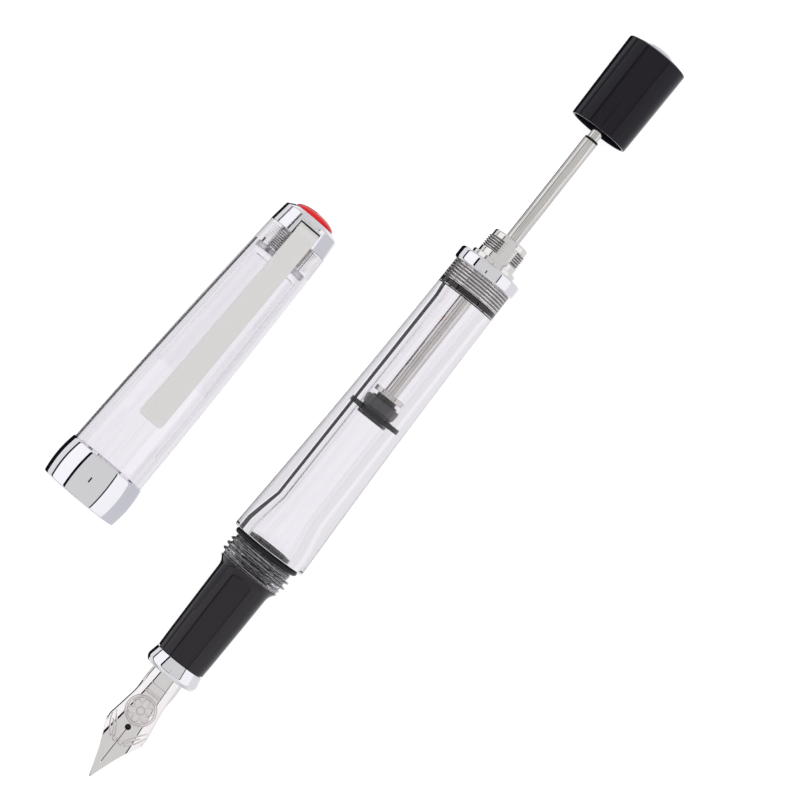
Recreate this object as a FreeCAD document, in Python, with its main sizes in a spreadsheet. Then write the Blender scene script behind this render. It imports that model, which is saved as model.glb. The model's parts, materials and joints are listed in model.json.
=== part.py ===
import FreeCAD, Part
import os
import re

import Sketcher
from FreeCAD import Rotation, Vector

# A clear vacuum-filling fountain pen, lying on a table with its cap off beside it and its plunger half out.
#
# Every turned piece is one outline, revolved about the pen's or the cap's own axis. Pen pieces are drawn with
# x measured from the nib's tip towards the filler knob, and cap pieces with x measured from the cap's mouth
# towards its domed top. An outline runs clockwise: up the front face, back along the outside, down the rear
# face and home along the bore.

DOC = FreeCAD.newDocument("FountainPen")
SHEET = DOC.addObject("Spreadsheet::Sheet", "Sizes")

# Driving dimensions, in millimetres, and angles in degrees.
SIZES = {
    # gaps left between neighbouring pieces
    "gap_hair": 0.01,
    "gap_fine": 0.02,
    "gap": 0.05,
    "gap_loose": 0.1,
    # nib: a curved steel sheet whose shell axis runs below the pen's axis
    "nib_length": 31.5,
    "nib_sheet": 0.35,
    "nib_shell_radius": 4.3,
    "nib_shell_drop": 0.95,
    "nib_tip_radius": 2.75,
    "nib_point": 0.35,
    "nib_point_half": 0.22,
    "nib_tine": 5.3,
    "nib_tine_half": 1.85,
    "nib_shoulder": 11.0,
    "nib_shoulder_half": 4.22,
    "nib_waist": 14.1,
    "nib_waist_half": 3.72,
    "nib_base": 22.5,
    "nib_base_half": 3.13,
    "breather": 11.2,
    "breather_radius": 0.56,
    "slit_half": 0.05,
    # feed: the comb that carries ink under the nib
    "feed_tip": 3.5,
    "feed_tip_top": 1.3,
    "feed_tip_low": 0.75,
    "feed_tip_half": 0.7,
    "feed_mid": 8.0,
    "feed_mid_top": 1.9,
    "feed_full": 13.0,
    "feed_belly": 20.0,
    "feed_radius": 2.9,
    "feed_end": 40.0,
    "fin_start": 13.2,
    "fin_gap": 0.35,
    "fin_pitch": 0.8,
    "fin_depth": 0.9,
    "fin_count": 10,
    # nib housing: the sleeve that holds the feed
    "housing_front": 31.7,
    "housing_end": 43.0,
    "housing_radius": 3.76,
    "housing_bore": 2.93,
    # ring at the grip's mouth
    "mouth_ring_front": 22.62,
    "mouth_ring_nose": 4.55,
    "mouth_ring_crest": 23.5,
    "mouth_ring_radius": 5.28,
    "mouth_ring_curve": 1.05,
    "mouth_ring_end": 25.87,
    "mouth_ring_back": 4.84,
    "mouth_ring_lip": 24.2,
    "mouth_ring_lip_bore": 3.95,
    "mouth_ring_bore": 4.5,
    # grip section
    "spigot_radius": 4.47,
    "grip_bore": 3.78,
    "grip_front_radius": 4.84,
    "grip_waist_end": 44.0,
    "grip_waist_radius": 5.2,
    "flare_end": 45.1,
    "flare_radius": 6.16,
    "flare_curve": 1.9,
    "grip_end": 45.38,
    "tenon_radius": 4.27,
    "tenon_end": 51.4,
    "cup_floor": 49.6,
    "cup_radius": 3.64,
    "ink_hole": 1.2,
    "seal_groove": 46.0,
    "seal_groove_width": 0.86,
    "seal_groove_radius": 3.44,
    "section_seal_radius": 3.86,
    "section_seal_wire": 0.4,
    # barrel
    "barrel_front": 45.4,
    "barrel_bore_front": 4.29,
    "bore_taper_start": 53.15,
    "bore_taper_end": 59.84,
    "bore_radius": 3.485,
    "bore_end": 104.5,
    "lead_in_radius": 3.75,
    "plug_seat": 107.0,
    "plug_seat_radius": 4.12,
    "barrel_end": 111.85,
    "barrel_end_radius": 5.84,
    "cap_thread_start": 45.95,
    "cap_thread_pitch": 1.14,
    "cap_thread_crest": 6.56,
    "cap_thread_root": 5.9,
    "cap_thread_land": 0.35,
    "seal_floor": 5.62,
    "cap_seal_front": 49.7,
    "shoulder": 50.95,
    "shoulder_round": 0.5,
    "shoulder_radius": 7.43,
    "barrel_widest": 51.45,
    "barrel_swell": -0.27,
    "cap_seal_radius": 6.15,
    "cap_seal_wire": 0.53,
    # ring behind the barrel
    "rear_ring_radius": 6.34,
    "rear_ring_end": 114.4,
    "rear_ring_round": 0.45,
    "rear_ring_bore": 4.1,
    # filler plug
    "plug_front": 107.05,
    "plug_nose": 4.02,
    "plug_groove": 107.42,
    "plug_groove_width": 0.82,
    "plug_groove_radius": 3.26,
    "plug_seal_radius": 3.69,
    "plug_seal_wire": 0.4,
    "plug_thread_start": 108.6,
    "plug_thread_pitch": 0.6,
    "plug_thread_crest": 4.1,
    "plug_thread_root": 3.78,
    "plug_thread_land": 0.2,
    "plug_body": 4.08,
    "flange_end": 115.3,
    "flange_radius": 4.49,
    "collar_end": 116.5,
    "collar_radius": 3.78,
    "knob_thread_start": 116.6,
    "knob_thread_pitch": 0.46,
    "knob_thread_crest": 3.84,
    "knob_thread_root": 3.55,
    "knob_thread_land": 0.14,
    "pilot_start": 119.1,
    "pilot_radius": 3.52,
    "pilot_round": 0.5,
    "plug_end": 120.3,
    "rod_hole": 1.43,
    "gland_hole": 2.4,
    "gland_end": 109.8,
    # rod seal and the retainer that keeps it in the plug
    "retainer_front": 107.1,
    "retainer_end": 108.1,
    "retainer_radius": 2.38,
    "rod_seal_hole": 1.4,
    # plunger rod
    "rod_radius": 1.37,
    "rod_stud_front": 80.5,
    "rod_stud_radius": 1.0,
    "rod_shoulder": 84.72,
    "rod_end": 142.7,
    "rod_ring_radius": 0.95,
    "neck_start": 143.1,
    "neck_radius": 1.06,
    "neck_end": 152.0,
    # piston head
    "carrier_front": 79.8,
    "carrier_radius": 3.04,
    "carrier_round": 0.3,
    "stud_hole": 1.04,
    "seal_seat_start": 80.35,
    "seal_seat_end": 83.75,
    "seal_seat_radius": 2.3,
    "hub_start": 84.1,
    "hub_radius": 1.99,
    "washer_front": 84.7,
    "washer_end": 85.7,
    "washer_hole": 1.41,
    "lip_start": 80.45,
    "lip_end": 81.5,
    "lip_radius": 3.46,
    "seal_waist": 2.75,
    "rear_lip_start": 81.8,
    "rear_lip_end": 83.6,
    "rear_lip_radius": 3.44,
    # filler knob
    "knob_front": 144.7,
    "knob_front_radius": 5.76,
    "knob_round": 0.3,
    "knob_mouth": 5.19,
    "mouth_depth_end": 146.6,
    "knob_thread_mouth": 147.6,
    "knob_thread_bore": 3.9,
    "knob_floor": 151.6,
    "knob_end": 161.7,
    "knob_end_radius": 6.05,
    "knob_edge_round": 0.35,
    "knob_crown": 162.4,
    "insert_hole": 2.0,
    "insert_radius": 1.98,
    "insert_step": 161.2,
    "insert_bore": 1.08,
    "insert_front": 151.0,
    "insert_head": 2.9,
    "dome_base": 162.42,
    "dome_radius": 2.64,
    "dome_height": 0.72,
    "dome_curve": 5.2,
    # cap tube
    "band_length": 8.1,
    "tube_under_band": 7.2,
    "tube_radius": 7.45,
    "tube_swell": 0.19,
    "tube_end": 59.66,
    "tube_end_radius": 5.95,
    "mouth_bore": 6.78,
    "mouth_depth": 1.6,
    "inner_thread_crest": 6.2,
    "inner_thread_root": 6.62,
    "inner_thread_start": 2.1,
    "inner_thread_land": 0.5,
    "thread_zone_end": 6.0,
    "tube_bore_front": 6.25,
    "tube_bore_mid": 27.0,
    "tube_bore_mid_radius": 5.95,
    "tube_bore_end": 55.3,
    "tube_bore_end_radius": 5.2,
    "screw_hole": 3.62,
    # band round the cap's mouth
    "band_bore": 7.22,
    "band_edge": 7.76,
    "band_edge_round": 0.3,
    "band_crown_start": 0.9,
    "band_crown_radius": 8.0,
    "band_curve": 50.0,
    # inner cap, which seals round the nib
    "inner_cap_front": 27.9,
    "inner_cap_rim": 5.85,
    "inner_cap_mouth": 5.45,
    "inner_cap_seat": 28.9,
    "inner_cap_bore": 4.8,
    "inner_cap_floor": 53.2,
    "inner_cap_floor_radius": 4.3,
    "inner_cap_end": 54.2,
    "inner_cap_end_radius": 5.18,
    "gasket_radius": 5.16,
    # finial screw, crown ring and finial
    "screw_front": 54.25,
    "screw_hub": 3.0,
    "screw_shank": 55.35,
    "screw_crest": 3.6,
    "screw_root": 3.34,
    "screw_thread_start": 55.6,
    "screw_pitch": 0.41,
    "screw_land": 0.13,
    "screw_neck": 2.95,
    "crown_bore": 3.0,
    "crown_start": 59.7,
    "crown_radius": 6.0,
    "crown_rear": 63.5,
    "crown_rear_radius": 5.63,
    "crown_end": 64.2,
    "crown_end_radius": 4.4,
    "crown_seat": 63.2,
    "crown_seat_radius": 3.62,
    "finial_radius": 4.05,
    "finial_end": 65.6,
    "finial_curve": 6.55,
    # clip
    "clip_tip": 18.5,
    "clip_tip_low": 7.75,
    "clip_tip_top": 8.35,
    "clip_nose": 20.6,
    "clip_nose_top": 8.95,
    "clip_heel": 21.0,
    "clip_heel_low": 7.33,
    "clip_arch": 25.0,
    "clip_arch_low": 8.1,
    "clip_bend": 60.6,
    "clip_bend_top": 7.6,
    "clip_bend_low": 6.7,
    "clip_bend_inner": 59.7,
    "clip_root": 62.2,
    "clip_root_top": 5.9,
    "clip_tongue": 60.9,
    "clip_tongue_top": 5.6,
    "clip_tongue_low": 3.7,
    "clip_bend_curve": 2.2,
    "clip_tip_half": 2.45,
    "clip_root_half": 2.0,
    "clip_corner": 0.7,
    "clip_nose_curve": 2.4,
    "clip_inner_curve": 1.4,
    "notch_end": 62.5,
    "notch_half": 2.17,
    "notch_start": 58.7,
    "notch_floor": 3.4,
    # how the pieces lie: their tilts, the cap's own turn about its axis, and its place beside the pen
    "pen_tilt": 0.718,
    "cap_tilt": 2.18,
    "cap_yaw": -1.92,
    "cap_roll": 8.5,
    "cap_forward": 37.3,
    "cap_aside": 31.9,
}

WORD = re.compile(r"[a-z][a-z_]*")
SIDE = 20.0  # reach of a cutting outline past the piece it trims


def amount(words):
    """The value of a sum such as "rod_end - 2*pitch", whose words are cells of the sheet."""
    total = 0.0
    sign = 1.0
    for word in words.split():
        if word in ("+", "-"):
            sign = 1.0 if word == "+" else -1.0
            continue
        factor, _, name = word.rpartition("*")
        value = SIZES[name] if name in SIZES else float(name)
        total += sign * value * (float(factor) if factor else 1.0)
        sign = 1.0
    return total


def formula(words):
    """The same sum as an expression on the sheet."""
    return WORD.sub(lambda found: "Sizes." + found.group(0), words)


def fill_sheet():
    """Write every driving dimension to the sheet, one aliased cell each."""
    for row, (name, value) in enumerate(SIZES.items(), start=1):
        SHEET.set(f"A{row}", name)
        SHEET.set(f"B{row}", str(value))
        SHEET.setAlias(f"B{row}", name)
    DOC.recompute()


def new_body(name):
    """An empty body whose label is the piece's name."""
    body = DOC.addObject("PartDesign::Body", name)
    body.Label = name
    return body


def plane_of(body, role):
    """One of the body's own origin planes."""
    return next(item for item in body.Origin.OriginFeatures if item.Role == role)


def bind(sketch, kind, ends, words):
    """A sketch dimension whose value is a sum of the sheet's cells."""
    index = sketch.addConstraint(Sketcher.Constraint(kind, *ends, amount(words)))
    sketch.setExpression(f"Constraints[{index}]", formula(words))


def place_point(sketch, curve, end, across, up):
    """Fix one end of a curve at the distances across and up from the sketch's origin."""
    for kind, axis, words in (("DistanceX", -2, across), ("DistanceY", -1, up)):
        if words == "0":
            sketch.addConstraint(Sketcher.Constraint("PointOnObject", curve, end, axis))
        elif amount(words) < 0:
            index = sketch.addConstraint(Sketcher.Constraint(kind, curve, end, -1, 1, -amount(words)))
            sketch.setExpression(f"Constraints[{index}]", f"-({formula(words)})")
        else:
            bind(sketch, kind, (-1, 1, curve, end), words)


def bent_edge(start, finish, radius):
    """A clockwise arc from start to finish, or an anticlockwise one where radius is negative."""
    chord = finish - start
    half = chord.Length / 2
    rise = (radius * radius - half * half) ** 0.5
    right = Vector(chord.y, -chord.x, 0).normalize()
    centre = (start + finish) / 2 + right * (rise if radius > 0 else -rise)
    low, high = (finish, start) if radius > 0 else (start, finish)
    circle = Part.Circle(centre, Vector(0, 0, 1), abs(radius))
    return Part.ArcOfCircle(circle, circle.parameter(low), circle.parameter(high))


def draw(sketch, outline):
    """Add a closed outline of (across, up) corners; a third entry bends the edge that leads to the corner."""
    corners = [Vector(amount(corner[0]), amount(corner[1]), 0) for corner in outline]
    edges = []
    for place, corner in enumerate(outline):
        start = corners[place - 1]
        if len(corner) == 2:
            index = sketch.addGeometry(Part.LineSegment(start, corners[place]), False)
            edges.append((index, 1, 2))
            continue
        radius = amount(corner[2])
        index = sketch.addGeometry(bent_edge(start, corners[place], radius), False)
        bind(sketch, "Radius", (index,), corner[2].removeprefix("0 - "))
        edges.append((index, 2, 1) if radius > 0 else (index, 1, 2))
    for place, (index, _, finish) in enumerate(edges):
        after, start, _ = edges[(place + 1) % len(edges)]
        sketch.addConstraint(Sketcher.Constraint("Coincident", index, finish, after, start))
        place_point(sketch, index, finish, outline[place][0], outline[place][1])


def new_sketch(body, role, *outlines):
    """A sketch on one of the body's origin planes that holds the given closed outlines."""
    sketch = body.newObject("Sketcher::SketchObject", body.Name + "_outline")
    sketch.AttachmentSupport = (plane_of(body, role), [""])
    sketch.MapMode = "FlatFace"
    for outline in outlines:
        draw(sketch, outline)
    return sketch


def turn(body, outline, role="XY_Plane", angle=360):
    """Revolve an outline about the body's x axis, evenly to both sides of the sketch's plane."""
    sketch = new_sketch(body, role, outline)
    feature = body.newObject("PartDesign::Revolution", body.Name + "_turned")
    feature.Profile = sketch
    feature.ReferenceAxis = (sketch, ["H_Axis"])
    feature.Midplane = angle < 360
    feature.Angle = angle
    return feature


def turned(name, outline):
    """A piece that is one revolved outline."""
    body = new_body(name)
    turn(body, outline)
    return body


def cut_through(body, role, *outlines):
    """Cut outlines from a body, right through it to both sides of the sketch's plane."""
    pocket = body.newObject("PartDesign::Pocket", body.Name + "_cut")
    sketch = new_sketch(body, role, *outlines)
    pocket.Profile = sketch
    pocket.SideType = "Symmetric"
    pocket.Type = "ThroughAll"
    body.Tip = pocket
    return pocket


def ring_seal(name, centre, radius, wire):
    """A rubber O-ring about the x axis: the middle of its wire, and the wire's own radius."""
    return turned(
        name,
        [
            (f"{centre} - {wire}", radius, wire),
            (centre, f"{radius} + {wire}", wire),
            (f"{centre} + {wire}", radius, wire),
            (centre, f"{radius} - {wire}", wire),
        ],
    )


def thread(start, pitch, land, root, crest, turns):
    """Outline corners of a thread drawn as rings: each turn rises from the root to a flat crest and back."""
    flank = f"{start} + 0.5*{pitch} - 0.5*{land}"
    corners = []
    for count in range(turns):
        corners.append((f"{start} + {count}*{pitch}", root))
        corners.append((f"{flank} + {count}*{pitch}", crest))
        corners.append((f"{flank} + {count}*{pitch} + {land}", crest))
    corners.append((f"{start} + {turns}*{pitch}", root))
    return corners


def taper(start, start_radius, end, end_radius, swell, steps=6):
    """Outline corners of a long, slightly curved taper; swell is how far its middle stands off straight."""
    corners = []
    for step in range(1, steps + 1):
        share = step / steps
        bulge = 4 * share * (1 - share)
        along = f"{1 - share:.6f}*{start} + {share:.6f}*{end}"
        radius = f"{1 - share:.6f}*{start_radius} + {share:.6f}*{end_radius} + {bulge:.6f}*{swell}"
        corners.append((along, radius))
    corners[-1] = (end, end_radius)
    return corners


def make_nib():
    """The nib: a curved sheet cut to its outline, slit from the point to the breather hole."""
    body = new_body("nib")
    shell = turn(
        body,
        [
            ("0", "nib_tip_radius"),
            ("nib_shoulder", "nib_shell_radius"),
            ("nib_length", "nib_shell_radius"),
            ("nib_length", "nib_shell_radius - nib_sheet"),
            ("nib_shoulder", "nib_shell_radius - nib_sheet"),
            ("0", "nib_tip_radius - 1.5*nib_sheet"),
        ],
        "XZ_Plane",
        180,
    )
    shell.Profile[0].setExpression("AttachmentOffset.Base.y", formula("0 - nib_shell_drop"))
    right = [
        ("nib_point", "0 - nib_point_half"),
        ("nib_tine", "0 - nib_tine_half"),
        ("nib_shoulder", "0 - nib_shoulder_half"),
        ("nib_waist", "0 - nib_waist_half"),
        ("nib_base", "0 - nib_base_half"),
        ("nib_length", "0 - nib_base_half"),
    ]
    left = [(across, up.replace("0 - ", "")) for across, up in right]
    outline = left + right[::-1]
    frame = [
        (f"0 - {SIDE}", f"{SIDE}"),
        (f"2*{SIDE}", f"{SIDE}"),
        (f"2*{SIDE}", f"0 - {SIDE}"),
        (f"0 - {SIDE}", f"0 - {SIDE}"),
    ]
    cut_through(body, "XY_Plane", frame, outline)
    slot = [
        (f"0 - {SIDE}", "slit_half"),
        ("breather", "slit_half"),
        ("breather", "0 - slit_half"),
        (f"0 - {SIDE}", "0 - slit_half"),
    ]
    cut_through(body, "XY_Plane", slot)
    hole = body.newObject("Sketcher::SketchObject", "nib_breather")
    hole.AttachmentSupport = (plane_of(body, "XY_Plane"), [""])
    hole.MapMode = "FlatFace"
    round_hole = Part.Circle(Vector(SIZES["breather"], 0, 0), Vector(0, 0, 1), SIZES["breather_radius"])
    hole.addGeometry(round_hole, False)
    bind(hole, "Radius", (0,), "breather_radius")
    place_point(hole, 0, 3, "breather", "0")
    pocket = body.newObject("PartDesign::Pocket", "nib_breather_cut")
    pocket.Profile = hole
    pocket.SideType = "Symmetric"
    pocket.Type = "ThroughAll"
    body.Tip = pocket
    return body


def make_feed():
    """The feed: a round bar thinned towards the point, with a comb of fins on its underside."""
    body = new_body("feed")
    turn(
        body,
        [("feed_tip", "0"), ("feed_tip", "feed_radius"), ("feed_end", "feed_radius"), ("feed_end", "0")],
    )
    low = f"0 - {SIDE}"
    far = f"{SIDE}"
    above = [
        ("0", "feed_tip_top"),
        ("0", far),
        ("feed_full", far),
        ("feed_full", "feed_radius"),
        ("feed_mid", "feed_mid_top"),
        ("feed_tip", "feed_tip_top"),
    ]
    below = [
        ("0", low),
        ("0", "feed_tip_low"),
        ("feed_tip", "feed_tip_low"),
        ("feed_belly", "0 - feed_radius"),
        ("feed_belly", low),
    ]
    cut_through(body, "XZ_Plane", above, below)
    for side in ("", "0 - "):
        cut_through(
            body,
            "XY_Plane",
            [
                ("0", side + "feed_tip_half"),
                ("0", side + far),
                ("feed_full", side + far),
                ("feed_full", side + "feed_radius"),
                ("feed_tip", side + "feed_tip_half"),
            ],
        )
    fin = cut_through(
        body,
        "XZ_Plane",
        [
            ("fin_start", low),
            ("fin_start", "0 - feed_radius + fin_depth"),
            ("fin_start + fin_gap", "0 - feed_radius + fin_depth"),
            ("fin_start + fin_gap", low),
        ],
    )
    comb = body.newObject("PartDesign::LinearPattern", "feed_comb")
    comb.Originals = [fin]
    comb.Direction = (plane_of(body, "X_Axis"), [""])
    comb.Mode = "Spacing"
    comb.setExpression("Offset", formula("fin_pitch"))
    comb.setExpression("Occurrences", formula("fin_count"))
    body.Tip = comb
    return body


def make_mouth_ring():
    """The bright ring at the grip's mouth, rounded at the front and stepped inside for the grip's spigot."""
    return turned(
        "section_trim_ring",
        [
            ("mouth_ring_front", "mouth_ring_lip_bore"),
            ("mouth_ring_front", "mouth_ring_nose"),
            ("mouth_ring_crest", "mouth_ring_radius", "mouth_ring_curve"),
            ("mouth_ring_end", "mouth_ring_back"),
            ("mouth_ring_end", "mouth_ring_bore"),
            ("mouth_ring_lip", "mouth_ring_bore"),
            ("mouth_ring_lip", "mouth_ring_lip_bore"),
        ],
    )


def make_grip():
    """The grip section: waisted, flared at the rear, with the tenon that screws into the barrel."""
    return turned(
        "grip_section",
        [
            ("mouth_ring_lip", "grip_bore"),
            ("mouth_ring_lip", "spigot_radius"),
            ("mouth_ring_end", "spigot_radius"),
            ("mouth_ring_end", "grip_front_radius"),
            ("grip_waist_end", "grip_waist_radius"),
            ("flare_end", "flare_radius", "0 - flare_curve"),
            ("grip_end", "flare_radius"),
            ("grip_end", "tenon_radius"),
            ("seal_groove", "tenon_radius"),
            ("seal_groove", "seal_groove_radius"),
            ("seal_groove + seal_groove_width", "seal_groove_radius"),
            ("seal_groove + seal_groove_width", "tenon_radius"),
            ("tenon_end", "tenon_radius"),
            ("tenon_end", "cup_radius"),
            ("cup_floor", "cup_radius"),
            ("cup_floor", "ink_hole"),
            ("housing_end", "ink_hole"),
            ("housing_end", "grip_bore"),
        ],
    )


def make_housing():
    """The sleeve inside the grip that holds the feed."""
    return turned(
        "nib_housing",
        [
            ("housing_front", "housing_bore"),
            ("housing_front", "housing_radius"),
            ("housing_end - gap_fine", "housing_radius"),
            ("housing_end - gap_fine", "housing_bore"),
        ],
    )


def make_barrel():
    """The clear barrel: cap thread and seal groove in front of the shoulder, then a taper to the rear."""
    outline = [("barrel_front", "barrel_bore_front"), ("barrel_front", "cap_thread_root")]
    outline += thread(
        "cap_thread_start",
        "cap_thread_pitch",
        "cap_thread_land",
        "cap_thread_root",
        "cap_thread_crest",
        3,
    )
    outline += [
        ("cap_seal_front", "cap_thread_root"),
        ("cap_seal_front", "seal_floor"),
        ("shoulder", "seal_floor"),
        ("shoulder", "shoulder_radius - shoulder_round"),
        ("shoulder + shoulder_round", "shoulder_radius", "shoulder_round"),
    ]
    outline += taper("barrel_widest", "shoulder_radius", "barrel_end", "barrel_end_radius", "barrel_swell")
    outline += [
        ("barrel_end", "plug_seat_radius"),
        ("plug_seat", "plug_seat_radius"),
        ("plug_seat", "lead_in_radius"),
        ("bore_end", "bore_radius"),
        ("bore_taper_end", "bore_radius"),
        ("bore_taper_start", "barrel_bore_front"),
    ]
    return turned("barrel", outline)


def make_rear_ring():
    """The bright ring between the barrel's end and the filler plug's flange."""
    return turned(
        "barrel_trim_ring",
        [
            ("barrel_end", "rear_ring_bore"),
            ("barrel_end", "rear_ring_radius - rear_ring_round"),
            ("barrel_end + rear_ring_round", "rear_ring_radius", "rear_ring_round"),
            ("rear_ring_end - rear_ring_round", "rear_ring_radius"),
            ("rear_ring_end", "rear_ring_radius - rear_ring_round", "rear_ring_round"),
            ("rear_ring_end", "rear_ring_bore"),
        ],
    )


def make_plug():
    """The filler plug: seals and closes the barrel, guides the rod and carries the knob's locking thread."""
    outline = [
        ("plug_front", "gland_hole"),
        ("plug_front", "plug_nose"),
        ("plug_groove", "plug_nose"),
        ("plug_groove", "plug_groove_radius"),
        ("plug_groove + plug_groove_width", "plug_groove_radius"),
        ("plug_groove + plug_groove_width", "plug_thread_root"),
    ]
    outline += thread(
        "plug_thread_start",
        "plug_thread_pitch",
        "plug_thread_land",
        "plug_thread_root",
        "plug_thread_crest",
        5,
    )
    outline += [
        ("barrel_end", "plug_thread_root"),
        ("barrel_end", "plug_body"),
        ("rear_ring_end", "plug_body"),
        ("rear_ring_end", "flange_radius"),
        ("flange_end", "flange_radius"),
        ("flange_end", "collar_radius"),
        ("collar_end", "collar_radius"),
        ("collar_end", "knob_thread_root"),
    ]
    outline += thread(
        "knob_thread_start",
        "knob_thread_pitch",
        "knob_thread_land",
        "knob_thread_root",
        "knob_thread_crest",
        5,
    )
    outline += [
        ("pilot_start", "knob_thread_root"),
        ("pilot_start", "pilot_radius"),
        ("plug_end - pilot_round", "pilot_radius"),
        ("plug_end", "pilot_radius - pilot_round", "pilot_round"),
        ("plug_end", "rod_hole"),
        ("gland_end", "rod_hole"),
        ("gland_end", "gland_hole"),
    ]
    return turned("filler_plug", outline)


def plain_ring(name, front, end, bore, radius):
    """A plain ring: two flat faces, one bore."""
    return turned(name, [(front, bore), (front, radius), (end, radius), (end, bore)])


def make_rod():
    """The plunger rod: the piston's stud, the long rod, a groove for the small ring and the knob's stud."""
    return turned(
        "plunger_rod",
        [
            ("rod_stud_front", "0"),
            ("rod_stud_front", "rod_stud_radius"),
            ("rod_shoulder", "rod_stud_radius"),
            ("rod_shoulder", "rod_radius"),
            ("rod_end", "rod_radius"),
            ("rod_end", "rod_ring_radius"),
            ("neck_start", "rod_ring_radius"),
            ("neck_start", "neck_radius"),
            ("neck_end", "neck_radius"),
            ("neck_end", "0"),
        ],
    )


def make_carrier():
    """The piston's carrier: a nose, a seat for the seal and a hub, screwed on the rod's stud."""
    return turned(
        "piston_carrier",
        [
            ("carrier_front", "0"),
            ("carrier_front", "carrier_radius - carrier_round"),
            ("carrier_front + carrier_round", "carrier_radius", "carrier_round"),
            ("seal_seat_start", "carrier_radius"),
            ("seal_seat_start", "seal_seat_radius"),
            ("seal_seat_end", "seal_seat_radius"),
            ("seal_seat_end", "carrier_radius - carrier_round"),
            ("hub_start", "carrier_radius - 2*carrier_round"),
            ("hub_start", "hub_radius"),
            ("washer_front", "hub_radius"),
            ("washer_front", "stud_hole"),
            ("rod_stud_front - gap_loose", "stud_hole"),
            ("rod_stud_front - gap_loose", "0"),
        ],
    )


def make_seal():
    """The piston's rubber seal: a thick front lip, a waist and a thinner rear lip."""
    return turned(
        "piston_seal",
        [
            ("seal_seat_start + gap_fine", "seal_seat_radius + gap_hair"),
            ("seal_seat_start + gap_fine", "seal_waist"),
            ("lip_start", "lip_radius"),
            ("lip_end", "lip_radius"),
            ("lip_end", "seal_waist"),
            ("rear_lip_start", "seal_waist"),
            ("rear_lip_end", "rear_lip_radius"),
            ("seal_seat_end - gap_fine", "rear_lip_radius"),
            ("seal_seat_end - gap_fine", "seal_seat_radius + gap_hair"),
        ],
    )


def make_knob():
    """The filler knob: hollow at the front for the plug's thread, solid at the rear round its insert."""
    return turned(
        "knob_shell",
        [
            ("knob_front", "knob_mouth"),
            ("knob_front", "knob_front_radius - knob_round"),
            ("knob_front + knob_round", "knob_front_radius", "knob_round"),
            ("knob_end - knob_edge_round", "knob_end_radius"),
            ("knob_end", "knob_end_radius - knob_edge_round", "knob_edge_round"),
            ("knob_crown", "insert_head + gap"),
            ("insert_step", "insert_head + gap"),
            ("insert_step", "insert_hole"),
            ("knob_floor", "insert_hole"),
            ("knob_floor", "knob_thread_bore"),
            ("knob_thread_mouth", "knob_thread_bore"),
            ("mouth_depth_end", "knob_mouth"),
        ],
    )


def make_insert():
    """The metal insert moulded into the knob, which the rod's stud screws into."""
    return turned(
        "knob_insert",
        [
            ("insert_front", "insert_bore"),
            ("insert_front", "insert_radius"),
            ("insert_step + gap_fine", "insert_radius"),
            ("insert_step + gap_fine", "insert_head"),
            ("dome_base - gap_fine", "insert_head"),
            ("dome_base - gap_fine", "0"),
            ("neck_end + gap_loose", "0"),
            ("neck_end + gap_loose", "insert_bore"),
        ],
    )


def make_dome():
    """The bright button on the knob's end."""
    return turned(
        "knob_dome",
        [("dome_base", "0"), ("dome_base", "dome_radius"), ("dome_base + dome_height", "0", "dome_curve")],
    )


def make_cap_tube():
    """The clear cap: a seat for the barrel's seal, its thread, a long bore and the finial screw's hole."""
    grooves = thread(
        "inner_thread_start",
        "cap_thread_pitch",
        "inner_thread_land",
        "inner_thread_crest",
        "inner_thread_root",
        3,
    )
    outline = [
        ("0", "mouth_bore"),
        ("0", "tube_under_band"),
        ("band_length", "tube_under_band"),
        ("band_length", "tube_radius"),
    ]
    outline += taper("band_length", "tube_radius", "tube_end", "tube_end_radius", "tube_swell")
    outline += [
        ("tube_end", "screw_hole"),
        ("tube_bore_end", "screw_hole"),
        ("tube_bore_end", "tube_bore_end_radius"),
        ("tube_bore_mid", "tube_bore_mid_radius"),
        ("thread_zone_end", "tube_bore_front"),
        ("thread_zone_end", "inner_thread_crest"),
    ]
    outline += grooves[::-1] + [("mouth_depth", "inner_thread_crest"), ("mouth_depth", "mouth_bore")]
    return turned("cap_tube", outline)


def make_band():
    """The bright crowned band round the cap's mouth."""
    return turned(
        "cap_band",
        [
            ("0", "band_bore"),
            ("0", "band_edge - band_edge_round"),
            ("band_edge_round", "band_edge", "band_edge_round"),
            ("band_crown_start", "band_crown_radius"),
            ("band_length - band_crown_start", "band_crown_radius", "band_curve"),
            ("band_length - band_edge_round", "band_edge"),
            ("band_length", "band_edge - band_edge_round", "band_edge_round"),
            ("band_length", "band_bore"),
        ],
    )


def make_inner_cap():
    """The clear inner cap that closes on the grip's mouth and keeps the nib wet."""
    return turned(
        "inner_cap",
        [
            ("inner_cap_front", "inner_cap_mouth"),
            ("inner_cap_front", "inner_cap_rim"),
            ("inner_cap_end", "inner_cap_end_radius"),
            ("inner_cap_end", "0"),
            ("inner_cap_floor", "0"),
            ("inner_cap_floor", "inner_cap_floor_radius"),
            ("inner_cap_seat", "inner_cap_bore"),
        ],
    )


def make_finial_screw():
    """The threaded post that screws into the cap's top and clamps the crown ring."""
    outline = [
        ("screw_front", "0"),
        ("screw_front", "screw_hub"),
        ("screw_shank", "screw_hub"),
        ("screw_shank", "screw_root"),
    ]
    outline += thread("screw_thread_start", "screw_pitch", "screw_land", "screw_root", "screw_crest", 9)
    outline += [
        ("tube_end", "screw_root"),
        ("tube_end", "screw_neck"),
        ("crown_seat", "screw_neck"),
        ("crown_seat", "crown_seat_radius - gap_fine"),
        ("crown_end", "crown_seat_radius - gap_fine"),
        ("crown_end", "0"),
    ]
    return turned("finial_screw", outline)


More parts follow.
